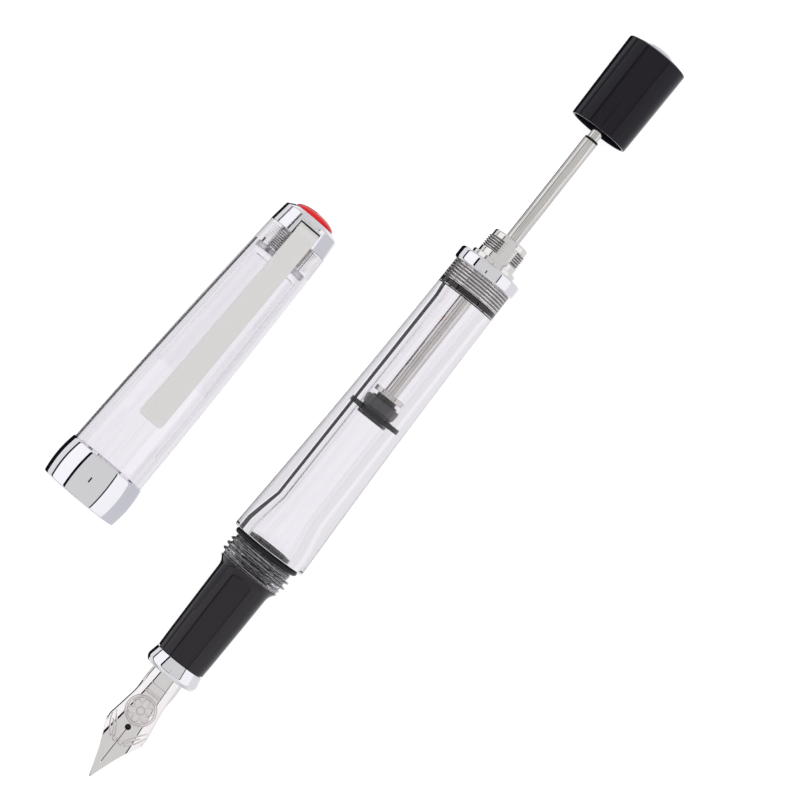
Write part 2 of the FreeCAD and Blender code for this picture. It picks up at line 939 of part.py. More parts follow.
def make_crown():
    """The bright crown ring on the cap's top, notched for the clip's root."""
    body = new_body("crown_ring")
    turn(
        body,
        [
            ("crown_start", "crown_bore"),
            ("crown_start", "crown_radius"),
            ("crown_rear", "crown_rear_radius"),
            ("crown_end", "crown_end_radius"),
            ("crown_end", "crown_seat_radius"),
            ("crown_seat", "crown_seat_radius"),
            ("crown_seat", "crown_bore"),
        ],
    )
    notch = body.newObject("PartDesign::Pocket", "crown_notch")
    sketch = new_sketch(
        body,
        "XY_Plane",
        [
            ("notch_start", "notch_half"),
            ("notch_end", "notch_half"),
            ("notch_end", "0 - notch_half"),
            ("notch_start", "0 - notch_half"),
        ],
    )
    sketch.setExpression("AttachmentOffset.Base.z", formula("notch_floor"))
    notch.Profile = sketch
    notch.Type = "ThroughAll"
    notch.Reversed = True
    body.Tip = notch
    return body


def make_finial():
    """The red domed button on the cap's top."""
    return turned(
        "finial_dome",
        [
            ("crown_end + gap_hair", "0"),
            ("crown_end + gap_hair", "finial_radius"),
            ("finial_end", "0", "finial_curve"),
        ],
    )


def make_clip():
    """The clip: a long strip whose tip rests on the cap and whose root bends down into the crown's notch."""
    body = new_body("clip")
    sketch = new_sketch(
        body,
        "XZ_Plane",
        [
            ("clip_tip", "clip_tip_low"),
            ("clip_tip", "clip_tip_top"),
            ("clip_nose", "clip_nose_top", "clip_nose_curve"),
            ("clip_bend", "clip_bend_top"),
            ("clip_root", "clip_root_top", "clip_bend_curve"),
            ("clip_root", "clip_tongue_low"),
            ("clip_tongue", "clip_tongue_low"),
            ("clip_tongue", "clip_tongue_top"),
            ("clip_bend_inner", "clip_bend_low", "0 - clip_inner_curve"),
            ("clip_arch", "clip_arch_low"),
            ("clip_heel", "clip_heel_low"),
        ],
    )
    strip = body.newObject("PartDesign::Pad", "clip_strip")
    strip.Profile = sketch
    strip.SideType = "Symmetric"
    strip.setExpression("Length", formula("2*clip_tip_half"))
    body.Tip = strip
    plan = [
        ("clip_tip", "clip_tip_half - clip_corner"),
        ("clip_tip + clip_corner", "clip_tip_half", "clip_corner"),
        ("clip_root", "clip_root_half"),
        ("clip_root", "0 - clip_root_half"),
        ("clip_tip + clip_corner", "0 - clip_tip_half"),
        ("clip_tip", "0 - clip_tip_half + clip_corner", "clip_corner"),
    ]
    frame = [
        ("0", f"{SIDE}"),
        (f"4*{SIDE}", f"{SIDE}"),
        (f"4*{SIDE}", f"0 - {SIDE}"),
        ("0", f"0 - {SIDE}"),
    ]
    cut_through(body, "XY_Plane", frame, plan)
    return body


def pen_pieces():
    """Every piece on the pen's own axis."""
    nib = make_nib()
    return [
        nib,
        make_feed(),
        make_housing(),
        make_mouth_ring(),
        make_grip(),
        ring_seal(
            "section_o_ring",
            "seal_groove + 0.5*seal_groove_width",
            "section_seal_radius",
            "section_seal_wire",
        ),
        make_barrel(),
        ring_seal("cap_seal_o_ring", "shoulder - cap_seal_wire - gap", "cap_seal_radius", "cap_seal_wire"),
        make_rear_ring(),
        make_plug(),
        ring_seal(
            "plug_o_ring",
            "plug_groove + 0.5*plug_groove_width",
            "plug_seal_radius",
            "plug_seal_wire",
        ),
        plain_ring("seal_retainer", "retainer_front", "retainer_end", "rod_hole", "retainer_radius"),
        plain_ring(
            "rod_seal",
            "retainer_end + gap_fine",
            "gland_end - gap_fine",
            "rod_seal_hole",
            "retainer_radius",
        ),
        make_carrier(),
        make_seal(),
        plain_ring(
            "piston_washer",
            "washer_front + gap_fine",
            "washer_end",
            "washer_hole",
            "carrier_radius",
        ),
        make_rod(),
        plain_ring(
            "rod_end_o_ring",
            "rod_end + gap_hair",
            "neck_start - gap_hair",
            "rod_ring_radius + gap_hair",
            "rod_radius",
        ),
        make_knob(),
        make_insert(),
        make_dome(),
    ]


def cap_pieces():
    """Every piece on the cap's own axis."""
    return [
        make_cap_tube(),
        make_band(),
        make_inner_cap(),
        plain_ring(
            "cap_gasket",
            "inner_cap_end + gap",
            "tube_bore_end - gap_fine",
            "screw_hub + gap",
            "gasket_radius",
        ),
        make_finial_screw(),
        make_crown(),
        make_finial(),
        make_clip(),
    ]


def lay(pieces, base, spin):
    """Place pieces together, then drop them until the lowest touches the table."""
    for piece in pieces:
        piece.Placement = FreeCAD.Placement(base, spin)
    lowest = min(piece.Shape.optimalBoundingBox().ZMin for piece in pieces)
    shift(pieces, Vector(0, 0, -lowest))


def shift(pieces, move):
    """Move pieces together."""
    for piece in pieces:
        piece.Placement.Base = piece.Placement.Base + move


def settle(pen, cap):
    """Lay the pen and the cap on the table and put the origin at the middle of the ground they cover."""
    down = Vector(0, 1, 0)
    lay(pen, Vector(0, 0, 0), Rotation(down, SIZES["pen_tilt"]))
    beside = Vector(SIZES["cap_forward"], SIZES["cap_aside"], 0)
    roll = Rotation(Vector(1, 0, 0), SIZES["cap_roll"])
    lay(cap, beside, Rotation(Vector(0, 0, 1), SIZES["cap_yaw"]) * Rotation(down, SIZES["cap_tilt"]) * roll)
    ground = FreeCAD.BoundBox()
    for piece in pen + cap:
        ground.add(piece.Shape.optimalBoundingBox())
    shift(pen + cap, Vector(-ground.Center.x, -ground.Center.y, 0))


def check(pieces):
    """Stop unless every object recomputed and every piece is a valid, closed solid."""
    for item in DOC.Objects:
        if "Invalid" in item.State or "Error" in item.State:
            raise RuntimeError(f"{item.Label} did not recompute: {item.State}")
    for piece in pieces:
        if piece.Shape.isNull() or not piece.Shape.isValid() or not piece.Shape.Solids:
            raise RuntimeError(f"{piece.Label} has no valid solid")


fill_sheet()
PEN = pen_pieces()
CAP = cap_pieces()
DOC.recompute()
check(PEN + CAP)
settle(PEN, CAP)
check(PEN + CAP)
os.makedirs("parts", exist_ok=True)
for piece in PEN + CAP:
    piece.Shape.exportStep(f"parts/{piece.Label}.step")
print(len(PEN + CAP), "pieces; pen at", PEN[-1].Placement, "cap at", CAP[-1].Placement)
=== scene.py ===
import json
import math

import bmesh
import bpy
from mathutils import Matrix, Vector


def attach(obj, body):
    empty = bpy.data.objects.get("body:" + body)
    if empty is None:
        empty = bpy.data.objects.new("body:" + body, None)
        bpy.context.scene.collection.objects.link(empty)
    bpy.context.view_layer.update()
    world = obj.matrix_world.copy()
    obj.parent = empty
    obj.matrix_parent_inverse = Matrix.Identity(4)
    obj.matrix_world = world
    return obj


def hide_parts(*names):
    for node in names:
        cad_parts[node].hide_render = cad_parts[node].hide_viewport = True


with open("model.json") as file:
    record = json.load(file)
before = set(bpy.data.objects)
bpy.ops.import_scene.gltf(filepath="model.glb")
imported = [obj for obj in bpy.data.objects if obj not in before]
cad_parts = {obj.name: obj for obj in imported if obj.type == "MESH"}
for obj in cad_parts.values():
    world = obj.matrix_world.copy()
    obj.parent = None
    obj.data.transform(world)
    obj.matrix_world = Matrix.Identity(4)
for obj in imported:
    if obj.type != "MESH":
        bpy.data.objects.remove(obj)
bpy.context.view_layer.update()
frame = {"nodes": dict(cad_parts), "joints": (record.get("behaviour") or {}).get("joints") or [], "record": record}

# Every piece is modelled in millimetres on its own axis, x along the pen or the cap and z up, and then carried into
# the frame by PEN or CAP. On the pen x starts at the nib's tip, on the cap at its mouth.

MM = 0.001
MOUNTS = {mount["name"]: mount for mount in frame["record"]["mounts"]}
JOINTS = {joint["name"]: joint for joint in frame["joints"]}


def axis_frame(mount, distance, side):
    """The matrix from a piece's own millimetres to the frame, for a mount that faces back along the piece's x axis."""
    x_axis = -Vector(mount["axis"]).normalized()
    y_axis = Vector(side).normalized()
    z_axis = x_axis.cross(y_axis).normalized()
    origin = Vector(mount["pos_m"]) - x_axis * distance * MM
    turn = Matrix((x_axis, y_axis, z_axis)).transposed().to_4x4()
    return Matrix.Translation(origin) @ turn @ Matrix.Scale(MM, 4)


PEN = axis_frame(MOUNTS["cap_thread"], 47.7, (0, 1, 0))
CAP = axis_frame(MOUNTS["cap_mouth"], 0.8, JOINTS["clip_flex"]["axis"])

FULL_TURN = 2 * math.pi
CAP_PITCH = 1.14  # of the thread between cap and barrel
FINE = 192  # facets round a clear or bright piece
PLAIN = 96  # facets round a small or dark piece
ARC_STEPS = 6


# ---------------------------------------------------------------- mesh helpers


def rounded(outline):
    """A closed outline of (x, radius) points; a third entry rounds that corner to its radius."""
    smooth = []
    for place, corner in enumerate(outline):
        here = Vector(corner[:2])
        if len(corner) == 2:
            smooth.append(tuple(here))
            continue
        before = Vector(outline[place - 1][:2]) - here
        after = Vector(outline[(place + 1) % len(outline)][:2]) - here
        half = before.angle(after) / 2
        reach = min(corner[2] / math.tan(half), 0.49 * before.length, 0.49 * after.length)
        radius = reach * math.tan(half)
        centre = here + (before.normalized() + after.normalized()).normalized() * radius / math.sin(half)
        start = here + before.normalized() * reach - centre
        end = here + after.normalized() * reach - centre
        sweep = start.angle_signed(end)
        for step in range(ARC_STEPS + 1):
            arm = start.copy()
            arm.rotate(Matrix.Rotation(-sweep * step / ARC_STEPS, 2))
            smooth.append(tuple(centre + arm))
    return smooth


def finish_mesh(name, verts, faces, place, sharp=35):
    """A mesh object with outward normals, smooth except at edges sharper than the given angle."""
    mesh = bpy.data.meshes.new(name)
    mesh.from_pydata([place @ Vector(vert) for vert in verts], [], faces)
    work = bmesh.new()
    work.from_mesh(mesh)
    bmesh.ops.remove_doubles(work, verts=work.verts, dist=1e-8)
    bmesh.ops.recalc_face_normals(work, faces=work.faces)
    work.to_mesh(mesh)
    work.free()
    mesh.shade_smooth()
    mesh.set_sharp_from_angle(angle=math.radians(sharp))
    piece = bpy.data.objects.new(name, mesh)
    bpy.context.scene.collection.objects.link(piece)
    return piece


def lathe(name, outline, place, facets=FINE, relief=None):
    """A closed piece made by turning an outline about its x axis. relief adds to the radius at (x, radius, angle)."""
    verts, rings, faces = [], [], []
    for x, radius in rounded(outline):
        if radius < 1e-6:
            rings.append([len(verts)])
            verts.append((x, 0, 0))
            continue
        rings.append(range(len(verts), len(verts) + facets))
        for facet in range(facets):
            angle = FULL_TURN * facet / facets
            out = radius + (relief(x, radius, angle) if relief else 0)
            verts.append((x, out * math.sin(angle), out * math.cos(angle)))
    for near, far in zip(rings, rings[1:] + rings[:1]):
        for facet in range(facets):
            after = (facet + 1) % facets
            if len(near) > 1 and len(far) > 1:
                faces.append((near[facet], near[after], far[after], far[facet]))
            elif len(near) > 1:
                faces.append((near[facet], near[after], far[0]))
            elif len(far) > 1:
                faces.append((near[0], far[after], far[facet]))
    return finish_mesh(name, verts, faces, place)


def run(start, end, radius, step):
    """Outline points along a straight wall, close enough together to carry a thread."""
    count = max(1, round(abs(end - start) / step))
    return [(start + (end - start) * place / count, radius) for place in range(count + 1)]


def smoothstep(low, high, value):
    """0 below low, 1 above high and a smooth rise between."""
    share = min(1.0, max(0.0, (value - low) / (high - low)))
    return share * share * (3 - 2 * share)


def helix(start, end, pitch, depth, root, hand=1):
    """Relief of a screw thread that rises depth above the root and runs out at both ends."""

    def relief(x, radius, angle):
        if abs(radius - root) > 1e-3 or not start <= x <= end:
            return 0
        turn = ((x - start) / pitch - hand * angle / FULL_TURN) % 1
        ridge = smoothstep(0.12, 0.36, turn) - smoothstep(0.56, 0.80, turn)
        runout = smoothstep(0, 0.8 * pitch, x - start) * smoothstep(0, 0.8 * pitch, end - x)
        return depth * ridge * runout

    return relief


def curve_between(start, end, swell, steps=24):
    """Outline points of a long taper whose middle stands off the straight line by swell."""
    points = []
    for step in range(steps + 1):
        share = step / steps
        x = start[0] + (end[0] - start[0]) * share
        points.append((x, start[1] + (end[1] - start[1]) * share + 4 * swell * share * (1 - share)))
    return points


def ring_outline(centre, radius, wire, steps=20):
    """The round outline of an O-ring's wire."""
    turns = [FULL_TURN * step / steps for step in range(steps)]
    return [(centre - wire * math.cos(turn), radius + wire * math.sin(turn)) for turn in turns]


def inlay(piece, material, place, chosen):
    """Give a second material to the faces whose middle, in the piece's own millimetres, is chosen."""
    piece.data.materials.append(material)
    back = place.inverted()
    for face in piece.data.polygons:
        if chosen(back @ face.center):
            face.material_index = 1


def dress(piece, body, material, slot, *nodes):
    """Give a piece its material, its body and the CAD nodes that it stands for; its record slot is not used."""
    piece.data.materials.clear()
    piece.data.materials.append(material)
    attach(piece, body)
    if nodes:
        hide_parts(*nodes)
    return piece


# ---------------------------------------------------------------- materials


class Nodes:
    """A short way to add and join shader nodes."""

    def __init__(self, tree):
        self.tree = tree

    def add(self, kind, settings=None, **inputs):
        node = self.tree.nodes.new(kind)
        for key, value in (settings or {}).items():
            setattr(node, key, value)
        for key, value in inputs.items():
            self.set(node, key.replace("_", " "), value)
        return node

    def set(self, node, key, value):
        socket = node.inputs[int(key)] if key.isdigit() else node.inputs[key]
        if isinstance(value, bpy.types.NodeSocket):
            self.tree.links.new(value, socket)
        else:
            socket.default_value = value

    def math(self, operation, *values):
        node = self.add("ShaderNodeMath", {"operation": operation})
        for place, value in enumerate(values):
            self.set(node, str(place), value)
        return node.outputs[0]

    def ramp(self, factor, stops, interpolation="LINEAR"):
        node = self.add("ShaderNodeValToRGB")
        node.color_ramp.interpolation = interpolation
        elements = node.color_ramp.elements
        while len(elements) < len(stops):
            elements.new(0.5)
        for element, (position, colour) in zip(elements, stops):
            element.position = position
        for element, (position, colour) in zip(elements, stops):
            element.color = (*colour, 1) if isinstance(colour, tuple) else (colour, colour, colour, 1)
        self.tree.links.new(factor, node.inputs["Fac"])
        return node.outputs["Color"]

    def range(self, value, low, high, to_low, to_high):
        node = self.add("ShaderNodeMapRange")
        keys = ("Value", "From Min", "From Max", "To Min", "To Max")
        for key, number in zip(keys, (value, low, high, to_low, to_high)):
            self.set(node, key, number)
        return node.outputs["Result"]

    def noise(self, scale, stretch=(1, 1, 1), detail=4.0):
        where = self.add("ShaderNodeTexCoord").outputs["Object"]
        mapping = self.add("ShaderNodeMapping", Vector=where, Scale=stretch)
        texture = self.add("ShaderNodeTexNoise", Vector=mapping.outputs["Vector"], Scale=scale, Detail=detail)
        return texture.outputs["Fac"]


def surface(name, colour, roughness, grain=(3000, (1, 1, 1)), bump=0.02, shade=0.04, **fixed):
    """A procedural material: its colour, roughness and fine relief follow noise of the given scale and stretch."""
    material = bpy.data.materials.new(name)
    material.use_nodes = True
    tree = Nodes(material.node_tree)
    shader = material.node_tree.nodes["Principled BSDF"]
    texture = tree.noise(*grain)
    wear = tree.noise(260.0, detail=3.0)
    dark = tuple(channel * (1 - shade) for channel in colour)
    light = tuple(min(1.0, channel * (1 + shade)) for channel in colour)
    shown = tree.ramp(texture, [(0.3, dark), (0.7, light)])
    tree.set(shader, "Base Color", shown)
    blend = tree.math("ADD", tree.math("MULTIPLY", texture, 0.6), tree.math("MULTIPLY", wear, 0.4))
    tree.set(shader, "Roughness", tree.range(blend, 0.3, 0.7, roughness[0], roughness[1]))
    relief = tree.add("ShaderNodeBump", Strength=bump, Distance=0.00002, Height=texture)
    tree.set(shader, "Normal", relief.outputs["Normal"])
    for key, value in fixed.items():
        shader.inputs[key.replace("_", " ")].default_value = value
    return material


ALONG = (0.03, 1, 1)  # grain drawn out along the pen
ROUND = (1, 0.05, 0.05)  # fine turning marks round the pen


CLEAR = surface(
    "clear_acrylic", (0.978, 0.964, 0.982), (0.0, 0.004), (900, ALONG), 0.001, 0.02, Transmission_Weight=1.0, IOR=1.49,
    Specular_IOR_Level=0.35
)
SMOKE = surface(
    "smoke_acrylic", (0.011, 0.0095, 0.012), (0.02, 0.05), bump=0.01, shade=0.1, Specular_IOR_Level=0.3
)
KNOB_SMOKE = surface(
    "knob_smoke", (0.006, 0.005, 0.008), (0.1, 0.16), bump=0.02, shade=0.15, Specular_IOR_Level=0.2
)
CHROME = surface("chrome", (0.9, 0.9, 0.925), (0.015, 0.04), (900, ROUND), 0.01, 0.01, Metallic=1.0)
SOFT_CHROME = surface("soft_chrome", (0.9, 0.9, 0.925), (0.09, 0.14), (900, ROUND), 0.01, 0.01, Metallic=1.0)
NIB_STEEL = surface("nib_steel", (0.91, 0.885, 0.87), (0.015, 0.045), (9000, ALONG), 0.012, 0.025, Metallic=1.0)
ENGRAVED = surface("nib_engraving", (0.68, 0.62, 0.61), (0.25, 0.35), (9000, ALONG), 0.04, 0.05, Metallic=1.0)
PLUG_METAL = surface("plug_metal", (0.86, 0.84, 0.815), (0.1, 0.2), (5000, ROUND), 0.08, 0.03, Metallic=1.0)
# Dark metal painted into the roots of the plug's threads: painted shade in their valleys.
THREAD_ROOT_SHADE = surface("thread_root_shade", (0.2, 0.19, 0.19), (0.3, 0.45), (5000, ROUND), 0.1, 0.2, Metallic=1.0)
ROD_STEEL = surface("rod_steel", (0.7, 0.685, 0.65), (0.02, 0.07), (5000, ALONG), 0.12, 0.16, Metallic=1.0)
# Dark metal painted into the roots of the finial screw's thread: painted shade in its valleys.
SCREW_ROOT_SHADE = surface("screw_root", (0.22, 0.21, 0.215), (0.3, 0.45), (5000, ROUND), 0.1, 0.2, Metallic=1.0)
CLIP_STEEL = surface("clip_steel", (0.99, 0.975, 0.945), (0.5, 0.58), (9000, ALONG), 0.03, 0.012, Metallic=1.0)
RUBBER = surface(
    "black_rubber", (0.006, 0.006, 0.007), (0.35, 0.5), (6000, (1, 1, 1)), 0.08, 0.2, Specular_IOR_Level=0.25
)
SEAL = surface(
    "seal_rubber", (0.012, 0.011, 0.014), (0.3, 0.45), (6000, (1, 1, 1)), 0.08, 0.2, Specular_IOR_Level=0.25
)
GREY_RUBBER = surface(
    "grey_rubber", (0.84, 0.82, 0.87), (0.3, 0.4), (6000, (1, 1, 1)), 0.08, 0.03, Transmission_Weight=0.9, IOR=1.2
)
# Pale colour painted in helical stripes on the tenon: painted glints of its thread's flanks.
PAINTED_GLINT = surface("thread_painted_glint", (0.86, 0.85, 0.88), (0.2, 0.3), (6000, (1, 1, 1)), 0.05, 0.05)
SEAL_SKIRT = surface("seal_skirt", (0.06, 0.055, 0.065), (0.3, 0.45), (6000, (1, 1, 1)), 0.08, 0.15)
THIN_CLEAR = surface(
    "thin_clear", (0.995, 0.992, 0.996), (0.0, 0.004), bump=0.002, shade=0.004, Transmission_Weight=1.0, IOR=1.05
)
BLACK_PLASTIC = surface(
    "black_plastic", (0.006, 0.006, 0.007), (0.25, 0.4), (4000, (1, 1, 1)), 0.1, 0.2, Specular_IOR_Level=0.3
)
RED = surface(
    "red_plastic", (0.56, 0.004, 0.006), (0.03, 0.07), (3000, (1, 1, 1)), 0.02, 0.06, Specular_IOR_Level=0.25
)


# ---------------------------------------------------------------- nib and feed

NIB_POINT = 0.35  # where the CAD nib starts
NIB_LENGTH = 31.5
NIB_SHEET = 0.35
NIB_ROWS, NIB_COLUMNS = 460, 96
BREATHER = (11.4, 0.56)  # the breather hole's place and radius
SLIT_START = 3.4
SLIT_HALF = 0.065
LINE_DEPTH = 0.035  # of the engraving
TIP_END = 0.7  # the darker writing tip
ROSETTE = 15.0  # the middle of the ornament
LINE_WIDTH = 0.12
ROLL = 0.62  # width of the strip along the nib's widest part that rolls down towards its edge
# Half the nib's width, the radius of its curve across and the height of its top, each at distances from the tip
OUTLINE_HALF = (
    (0.35, 0.1), (0.65, 0.25), (1.8, 0.65), (3.5, 1.23), (5.3, 1.85), (7.0, 2.55), (8.8, 3.42),
    (10.3, 4.22), (11.1, 4.43), (12.2, 4.3), (14.1, 3.98), (17.6, 3.48), (22.5, 3.18), (31.5, 3.13),
)
CURVATURE = ((0, 5.0), (5.0, 7.2), (8.0, 6.9), (11.1, 5.9), (14.1, 5.1), (17.6, 4.25), (22.5, 3.6), (31.5, 3.5))
TOP_LINE = ((0, 2.2), (3.0, 2.5), (7.0, 2.95), (11.0, 3.3), (16, 3.35), (31.5, 3.35))


def along(table, x):
    """The value at x of a smooth line through (x, value) points."""
    for (x0, y0), (x1, y1) in zip(table, table[1:]):
        if x <= x1:
            break
    place = table.index((x1, y1))
    before = table[place - 2] if place > 1 else (x0, y0)
    after = table[place + 1] if place + 1 < len(table) else (x1, y1)
    slope0 = (y1 - before[1]) / (x1 - before[0])
    slope1 = (after[1] - y0) / (after[0] - x0)
    width = x1 - x0
    share = (x - x0) / width
    cube, square = share**3, share**2
    return (
        (2 * cube - 3 * square + 1) * y0
        + (cube - 2 * square + share) * width * slope0
        + (3 * square - 2 * cube) * y1
        + (cube - square) * width * slope1
    )


def groove(distance, width):
    """1 in the middle of an engraved line, falling to 0 at its edges."""
    return max(0.0, 1 - (distance / width) ** 2)


def near_curve(x, y, points):
    """Distance from (x, y) to a line drawn smoothly through (x, y) points."""
    least = 9.0
    for (x0, y0), (x1, y1) in zip(points, points[1:]):
        run_x, run_y = x1 - x0, y1 - y0
        share = ((x - x0) * run_x + (y - y0) * run_y) / (run_x * run_x + run_y * run_y)
        share = min(1.0, max(0.0, share))
        least = min(least, math.hypot(x - x0 - share * run_x, y - y0 - share * run_y))
    return least


def scroll(start, end, bend):
    """Points of one engraved leaf edge, bent sideways between its ends."""
    points = []
    for step in range(11):
        share = step / 10
        x = start[0] + (end[0] - start[0]) * share
        y = start[1] + (end[1] - start[1]) * share + bend * math.sin(math.pi * share)
        points.append((x, y))
    return points


SCROLLS = (
    scroll((8.7, 0.9), (12.4, 3.5), -0.25),
    scroll((8.2, 1.5), (11.6, 3.75), 0.25),
    scroll((8.2, 1.5), (8.7, 0.9), 0.35),
    scroll((8.9, 1.5), (10.9, 2.9), -0.15),
    [(8.35 + 0.38 * math.cos(turn / 2), 0.62 + 0.38 * math.sin(turn / 2)) for turn in range(2, 12)],
)


def engraving(x, y):
    """Depth of the generic ornament on the nib: a rosette in a double ring, and leaf scrolls beside the slit."""
    depth = 0.0
    away = math.hypot(x - ROSETTE, y)
    if away < 3.2:
        for radius in (2.75, 2.4, 0.7):
            depth = max(depth, groove(abs(away - radius), LINE_WIDTH))
        turn = math.atan2(y, x - ROSETTE)
        petal = 0.85 + 1.5 * abs(math.cos(3 * turn)) ** 0.7
        if 0.7 < away < 2.4:
            depth = max(depth, groove(abs(away - petal) * 0.8, LINE_WIDTH))
    if 7.5 < x < 12.8:
        for points in SCROLLS:
            depth = max(depth, groove(near_curve(x, abs(y), points), LINE_WIDTH))
    for bar in (18.4, 18.8, 20.2):
        if abs(y) < 1.6:
            depth = max(depth, groove(abs(x - bar), 0.1))
    return depth


def make_nib():
    """The nib: a curved sheet with its slit, breather hole and engraved ornament, and a thickened, darker writing tip.
    """
    rows, columns = NIB_ROWS, NIB_COLUMNS
    verts, faces = [], []
    hole_x, hole_r = BREATHER
    for side in (1, -1):
        grids = []
        for skin in (0, 1):
            grid = []
            for row in range(rows + 1):
                x = NIB_POINT + (NIB_LENGTH - NIB_POINT) * (row / rows) ** 1.08
                half = along(OUTLINE_HALF, x)
                bend = along(CURVATURE, x)
                top = along(TOP_LINE, x)
                inner = 0.0
                if SLIT_START < x < hole_x:
                    inner = SLIT_HALF
                if abs(x - hole_x) < hole_r:
                    inner = max(inner, math.sqrt(hole_r**2 - (x - hole_x) ** 2))
                line = []
                for column in range(columns + 1):
                    width = inner + (half - inner) * column / columns
                    angle = math.asin(min(0.99, width / bend))
                    sink = NIB_SHEET * skin * (1 + 0.6 * smoothstep(2.0, 0.0, x))
                    cut = LINE_DEPTH * engraving(x, side * width) if not skin else 0
                    edge = 0.05 * smoothstep(min(0.12, 0.2 * half), 0, half - width) * min(1.0, half)
                    rolled = smoothstep(0, 1, (width - half + ROLL) / ROLL) if width > half - ROLL else 0
                    drop = 0.42 * rolled * smoothstep(9.8, 10.8, x) * (1 - smoothstep(17.0, 21.0, x))
                    reach = bend - sink - cut - drop - (edge if not skin else -edge)
                    line.append(len(verts))
                    verts.append((x, side * reach * math.sin(angle), top - bend + reach * math.cos(angle)))
                grid.append(line)
            grids.append(grid)
        for grid in grids:
            for one, two in zip(grid, grid[1:]):
                for column in range(columns):
                    faces.append((one[column], one[column + 1], two[column + 1], two[column]))
        upper, lower = grids
        for row in range(rows):
            for column in (0, columns):
                below = row + 1
                faces.append((upper[row][column], upper[below][column], lower[below][column], lower[row][column]))
        for row in (0, rows):
            for column in range(columns):
                near, far = column, column + 1
                faces.append((upper[row][near], upper[row][far], lower[row][far], lower[row][near]))
    nib = finish_mesh("nib_sheet", verts, faces, PEN, 50)
    dress(nib, "pen_body", NIB_STEEL, "nib_steel", "nib")
    inlay(nib, ENGRAVED, PEN, lambda spot: spot.x < TIP_END or (spot.z > 0.5 and engraving(spot.x, spot.y) > 0.25))


make_nib()


# ---------------------------------------------------------------- grip section

def make_section():
    """The grip's bright mouth ring, the waisted grip and the seal on its tenon."""
    ring = lathe(
        "mouth_ring",
        [(22.62, 3.95, 0.1), (22.62, 4.75, 0.55), (23.5, 5.36, 1.2), (25.76, 4.86, 0.06)]
        + [(25.76, 4.5), (24.2, 4.5), (24.2, 3.95)],
        PEN,
    )
    dress(ring, "pen_body", CHROME, "chrome_plate", "section_trim_ring")
    flare = [(43.0 + 2.33 * share, 5.19 + 0.97 * share**2.6) for share in (0.12 * step for step in range(9))]
    grip = lathe(
        "grip",
        [(24.25, 3.78), (24.25, 4.47), (25.98, 4.47), (25.98, 4.84, 0.05)]
        + [(29.0, 4.94), (33.4, 5.03), (38.0, 5.12)]
        + flare
        + [(45.38, 6.16, 0.03), (45.38, 4.27)]
        + run(45.42, 46.0, 4.3, 0.05)
        + [(46.0, 3.44), (46.86, 3.44)]
        + run(46.86, 49.75, 4.3, 0.05)
        + [(50.2, 4.27), (51.75, 4.27, 0.15), (51.75, 3.64, 0.15)]
        + [(49.6, 3.64), (49.6, 1.2), (43.0, 1.2), (43.0, 3.78)],
        PEN,
    )
    dress(grip, "pen_body", SMOKE, "smoke_acrylic", "grip_section")

    def flank(spot):
        """Pale stripes of painted highlight, standing for the glinting flanks of the tenon's thread seen through the
        barrel.
        """
        turn = 2 * ((spot.x - 45.67) / CAP_PITCH - math.atan2(spot.y, spot.z) / FULL_TURN)
        return 45.42 < spot.x < 49.3 and math.hypot(spot.y, spot.z) > 4.2 and turn % 1 < 0.36

    inlay(grip, PAINTED_GLINT, PEN, flank)
    seal = lathe("section_seal", ring_outline(46.43, 3.87, 0.43), PEN)
    dress(seal, "pen_body", RUBBER, "black_rubber", "section_o_ring")


make_section()


# ---------------------------------------------------------------- barrel

def make_barrel():
    """The clear barrel with its cap thread, seal groove and long taper, and the bore that the piston runs in."""
    thread = helix(45.67, 49.4, CAP_PITCH, 0.66, 5.9)
    outline = [(45.4, 4.29), (45.4, 5.9, 0.1)]
    outline += run(45.6, 49.55, 5.9, 0.06)
    outline += [(49.7, 5.9, 0.05), (49.7, 5.62), (50.95, 5.62), (50.95, 7.43, 0.42)]
    outline += curve_between((51.45, 7.43), (111.85, 5.84), -0.27)
    outline += [(111.85, 4.12), (107.0, 4.12), (106.8, 3.75), (104.5, 3.485)]
    outline += [(59.84, 3.485), (53.3, 4.6), (51.0, 4.6), (50.9, 4.29)]
    barrel = lathe("clear_barrel", outline, PEN, 256, thread)
    dress(barrel, "pen_body", CLEAR, "clear_acrylic", "barrel")
    seal = lathe("cap_seal", ring_outline(50.37, 6.15, 0.53), PEN)
    dress(seal, "pen_body", RUBBER, "black_rubber", "cap_seal_o_ring")
    ring = lathe("rear_ring", [(111.85, 4.1), (111.85, 6.34, 0.5), (114.4, 6.34, 0.5), (114.4, 4.1)], PEN)
    dress(ring, "pen_body", CHROME, "chrome_plate", "barrel_trim_ring")


make_barrel()


# ---------------------------------------------------------------- filler plug

FLAT_TURN = -0.2  # direction in which one of the plug's two wrench flats faces, in radians from straight up


def threaded(low, high, root):
    """Chooses the faces that lie at the root of a thread between two distances."""
    return lambda spot: low < spot.x < high and math.hypot(spot.y, spot.z) < root


